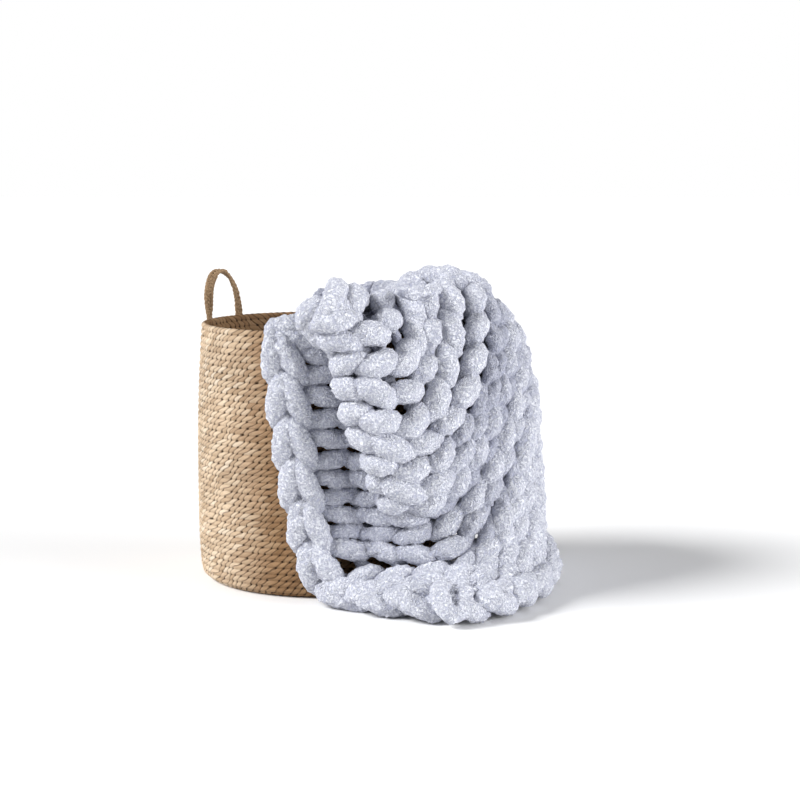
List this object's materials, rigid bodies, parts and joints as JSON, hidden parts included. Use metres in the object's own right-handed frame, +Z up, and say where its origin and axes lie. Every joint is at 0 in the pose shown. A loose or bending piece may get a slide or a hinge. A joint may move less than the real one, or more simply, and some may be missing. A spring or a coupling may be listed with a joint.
{
  "type": "chunky knit blanket draped from a rope storage basket",
  "caption": "Chunky knit chenille blanket spilling over the rim of a round coiled rope storage basket with a strap handle, down to the floor.",
  "frame": {"origin": "centre of the basket's flat underside, on the floor", "axes": "+Z up along the basket's axis, -Y towards the side that the blanket hangs down in front, +X towards the side where it spreads on the floor"},
  "size_m": [0.5418, 0.5293, 0.4665],
  "materials": {
    "rope": "twisted plant fibre rope",
    "braid": "flat braided plant fibre strap",
    "chenille": "soft short pile"
  },
  "bodies": {
    "root": {"basket": "rope", "handle": "braid", "blanket": "chenille"}
  },
  "joints": []
}
